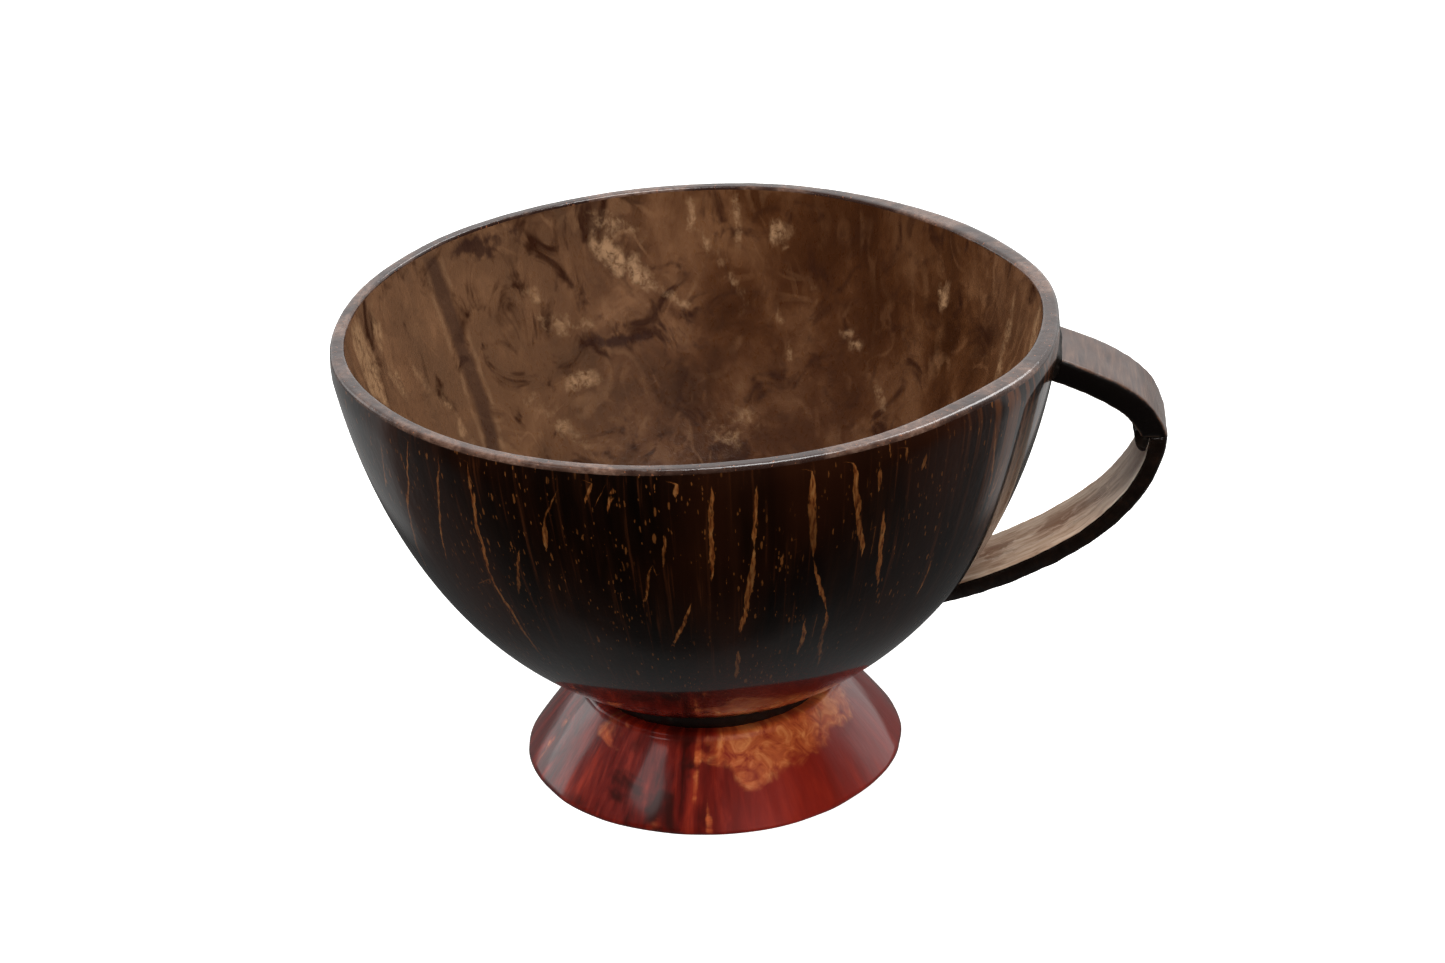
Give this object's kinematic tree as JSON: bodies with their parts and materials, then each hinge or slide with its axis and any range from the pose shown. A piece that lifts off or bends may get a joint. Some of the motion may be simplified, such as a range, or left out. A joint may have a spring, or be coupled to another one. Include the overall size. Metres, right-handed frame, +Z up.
{
  "type": "footed cup",
  "caption": "Round drinking cup of dark lacquered coconut shell on a flared red foot ring, with a flat loop handle at one side.",
  "frame": {"origin": "centre of the foot ring on the surface that the cup stands on", "axes": "+Z up, +X from the cup's axis towards the handle"},
  "size_m": [0.1328, 0.1148, 0.078],
  "materials": {
    "lacquered_shell": "near-black brown coconut shell under clear gloss lacquer, with tan fibre streaks; bare mottled brown inside",
    "red_stained_shell": "coconut shell with a translucent red stain and gloss lacquer, orange where the fibres show",
    "handle_shell": "dark lacquered coconut shell outside, bare grey-tan shell inside",
    "dark_glue": "hard black-brown glue, slightly glossy"
  },
  "bodies": {
    "root": {"bowl_shell": "lacquered_shell", "foot_ring": "red_stained_shell", "foot_glue_bed": "dark_glue", "handle_upper_strip": "handle_shell", "handle_lower_strip": "handle_shell", "handle_corner_glue": "dark_glue", "upper_root_glue": "dark_glue", "lower_root_glue": "dark_glue"}
  },
  "joints": []
}
